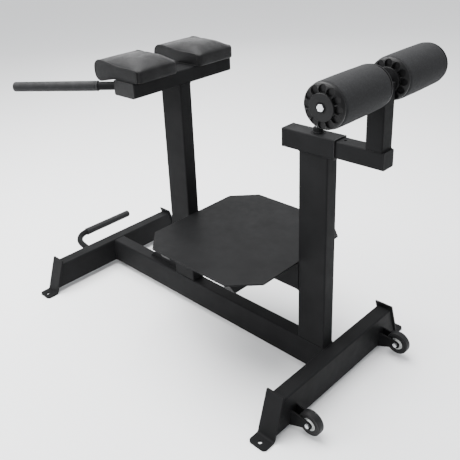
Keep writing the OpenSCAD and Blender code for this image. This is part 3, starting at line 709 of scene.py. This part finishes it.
def pad_outline(low, high):
    """Side view of a pad at its side seams, as (x, z) points: front roll, saddle, raised back."""
    roll, bottom_edge, top_edge = 0.036, 0.005, 0.007
    base = low.z + PAD_BASE
    roll_x, roll_z = low.x + roll, base + 0.054 - roll
    dip_x, dip_z = low.x + 0.152, base + 0.038
    back_z = base + 0.039
    board_x = low.x + 0.108
    points = arc(roll_x, roll_z, roll, 90, 262, 22)
    under_x, under_z = points[-1]
    points += [(under_x + (board_x - under_x) * i / 10, under_z + (base - under_z) * i / 10)
               for i in range(1, 10)]
    steps = 30
    points += [(board_x + (high.x - bottom_edge - board_x) * i / steps, base)
               for i in range(steps + 1)]
    points += arc(high.x - bottom_edge, base + bottom_edge, bottom_edge, -60, 0, 3)
    points += arc(high.x - top_edge, back_z - top_edge, top_edge, 0, 84, 6)
    for i in range(1, steps + 1):
        t = i / steps
        points.append((high.x - top_edge + (dip_x - high.x + top_edge) * t,
                       back_z + (dip_z - back_z) * ease(t)))
    for i in range(1, steps):
        t = i / steps
        points.append((dip_x + (roll_x - dip_x) * t, dip_z + (roll_z + roll - dip_z) * ease(t)))
    return points


def crown_at(along):
    """Height of a pad's middle over its side seams, at a distance from its front."""
    most, rise_from, rise_over, fall_from, fall_over = 0.028, 0.030, 0.110, 0.15, 0.086
    falling = max(0.0, min(1.0, (along - fall_from) / fall_over))
    return most * ease((along - rise_from) / rise_over) * (1 - falling ** 2.2)


def puff(low, high, side):
    """A function that moves a plain pad's points: it crowns the top and rounds upright corners."""
    half, centre = (high.y - low.y) / 2, (high.y + low.y) / 2
    base = low.z + PAD_BASE
    corner, nose = 0.020, 0.010
    still, stretch, fuller_inside = 0.004, 0.034, 0.10

    def move(point):
        x, y, z = point
        across = (y - centre) / half
        rise = ease((z - base - still) / stretch)
        inward = -side * across
        shape = (1 - min(1.0, abs(across)) ** 4) * (1 + fuller_inside * inward)
        z += rise * crown_at(x - low.x) * shape
        for limit, r, way in ((high.x, corner, 1), (low.x, nose, -1)):
            dx = way * (x - limit) + r
            dy = abs(y - centre) - half + r
            if dx > 0 and dy > 0:
                scale = max(dx, dy) / math.hypot(dx, dy)
                x = limit - way * r + way * dx * scale
                y = centre + math.copysign(half - r + dy * scale, y - centre)
        return Vector((x, y, z))
    return move


def apply_modifiers(piece):
    """Puts the modified mesh in the place of a piece's own."""
    graph = bpy.context.evaluated_depsgraph_get()
    made = bpy.data.meshes.new_from_object(piece.evaluated_get(graph))
    piece.modifiers.clear()
    old, piece.data = piece.data, made
    bpy.data.meshes.remove(old)


def inflate(piece, held, pressure, cap, frames=14):
    """Swells a closed cover by cloth simulation. Held vertices stay, and no move passes cap."""
    start = [v.co.copy() for v in piece.data.vertices]
    group = piece.vertex_groups.new(name="held")
    for index, weight in held.items():
        group.add([index], weight, "REPLACE")
    cloth = piece.modifiers.new("cloth", "CLOTH")
    cloth.settings.use_pressure = True
    cloth.settings.uniform_pressure_force = pressure
    cloth.settings.effector_weights.gravity = 0
    cloth.settings.vertex_group_mass = "held"
    cloth.settings.quality = 5
    cloth.settings.tension_stiffness = 25
    cloth.settings.compression_stiffness = 25
    cloth.settings.bending_stiffness = 10
    cloth.point_cache.frame_start, cloth.point_cache.frame_end = 1, frames
    for moment in range(1, frames + 1):
        bpy.context.scene.frame_set(moment)
    apply_modifiers(piece)
    for vertex, was in zip(piece.data.vertices, start):
        move = vertex.co - was
        if move.length > cap:
            vertex.co = was + move * (cap / move.length)
    bpy.context.scene.frame_set(1)
    piece.vertex_groups.clear()


def piping(name, path, radius, sides=10):
    """A round cord along a closed path of points."""
    verts, faces = [], []
    count = len(path)
    for i, point in enumerate(path):
        ahead = (path[(i + 1) % count] - path[i - 1]).normalized()
        outward = ahead.cross(Y).normalized()
        for k in range(sides):
            a = 2 * math.pi * k / sides
            verts.append(point + radius * (math.cos(a) * Y + math.sin(a) * outward))
    for i in range(count):
        j = (i + 1) % count
        for k in range(sides):
            m = (k + 1) % sides
            faces.append((i * sides + k, j * sides + k, j * sides + m, i * sides + m))
    mesh = closed_mesh(name, verts, faces)
    shade_smooth(mesh)
    return mesh


def plain_pad(name, outline, low, high):
    """The cushion before it is stuffed: its outline drawn across, bevelled and evenly meshed."""
    inset, edge, edge_steps, voxel = 0.0022, 0.006, 4, 0.0036
    mesh = bpy.data.meshes.new(name)
    work = bmesh.new()
    face = work.faces.new([work.verts.new((x, low.y + inset, z)) for x, z in outline])
    grown = bmesh.ops.extrude_face_region(work, geom=[face])
    moved = [v for v in grown["geom"] if isinstance(v, bmesh.types.BMVert)]
    bmesh.ops.translate(work, verts=moved, vec=(0, high.y - low.y - 2 * inset, 0))
    bmesh.ops.recalc_face_normals(work, faces=work.faces)
    work.to_mesh(mesh)
    work.free()
    piece = put(name, mesh)
    bevel = piece.modifiers.new("bevel", "BEVEL")
    bevel.width, bevel.segments, bevel.limit_method = edge, edge_steps, "ANGLE"
    bevel.angle_limit = math.radians(50)
    remesh = piece.modifiers.new("remesh", "REMESH")
    remesh.mode, remesh.voxel_size = "VOXEL", voxel
    apply_modifiers(piece)
    return piece


def held_vertices(piece, low, high):
    """The weights of the vertices that the cloth keeps: the face on the board and the seams."""
    board_z, board_x, seam_near, seam_far = 0.0175, 0.106, 0.0035, 0.0075
    held = {}
    for v in piece.data.vertices:
        seam = min(v.co.y - low.y, high.y - v.co.y)
        if v.co.z < low.z + board_z and v.co.x > low.x + board_x:
            held[v.index] = 1.0
        elif seam_near < seam < seam_far:
            held[v.index] = 0.9
    return held


def seam_path(outline, y, skin):
    """Points on a pad's skin, along its side outline at y."""
    outside, reach = 0.014, 0.034  # where each ray starts from the outline, and how far it goes
    path = []
    for i, (x, z) in enumerate(outline):
        before, after = outline[i - 1], outline[(i + 1) % len(outline)]
        along = Vector((after[0] - before[0], 0, after[1] - before[1])).normalized()
        inward = Vector((-along.z, 0, along.x))
        hit = skin.ray_cast(Vector((x, y, z)) - inward * outside, inward, reach)[0]
        if hit is not None:
            path.append(hit)
    return path


def thigh_pad(name, node, side):
    """A cushion on its board: saddle top, front roll, sewn side panels with a piped seam."""
    seam_in, cord_r, fill = 0.0045, 0.0026, 0.9
    low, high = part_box(node)
    outline = pad_outline(low, high)
    piece = plain_pad(name, outline, low, high)
    move = puff(low, high, side)
    for v in piece.data.vertices:
        v.co = move(v.co)
    relax = piece.modifiers.new("relax", "SMOOTH")
    relax.factor, relax.iterations = 0.5, 1
    apply_modifiers(piece)
    inflate(piece, held_vertices(piece, low, high), pressure=2.0, cap=0.002)
    smooth = piece.modifiers.new("subdivide", "SUBSURF")
    smooth.levels = smooth.render_levels = 1
    apply_modifiers(piece)
    shade_smooth(piece.data)
    skin = BVHTree.FromPolygons([v.co for v in piece.data.vertices],
                                [p.vertices for p in piece.data.polygons])
    piece.data.materials.clear()
    piece.data.materials.append(looks["pad_cover"])
    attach(piece, "frame")
    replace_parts(piece, node)
    for edge, y in (("low", low.y + seam_in), ("high", high.y - seam_in)):
        cord = piping(name, seam_path(outline, y, skin), cord_r)
        add_piece(f"{name}_piping_{edge}", cord, "frame", "pad_cover")


thigh_pad("left_thigh_pad", "left_pad", -1)
thigh_pad("right_thigh_pad", "right_pad", 1)
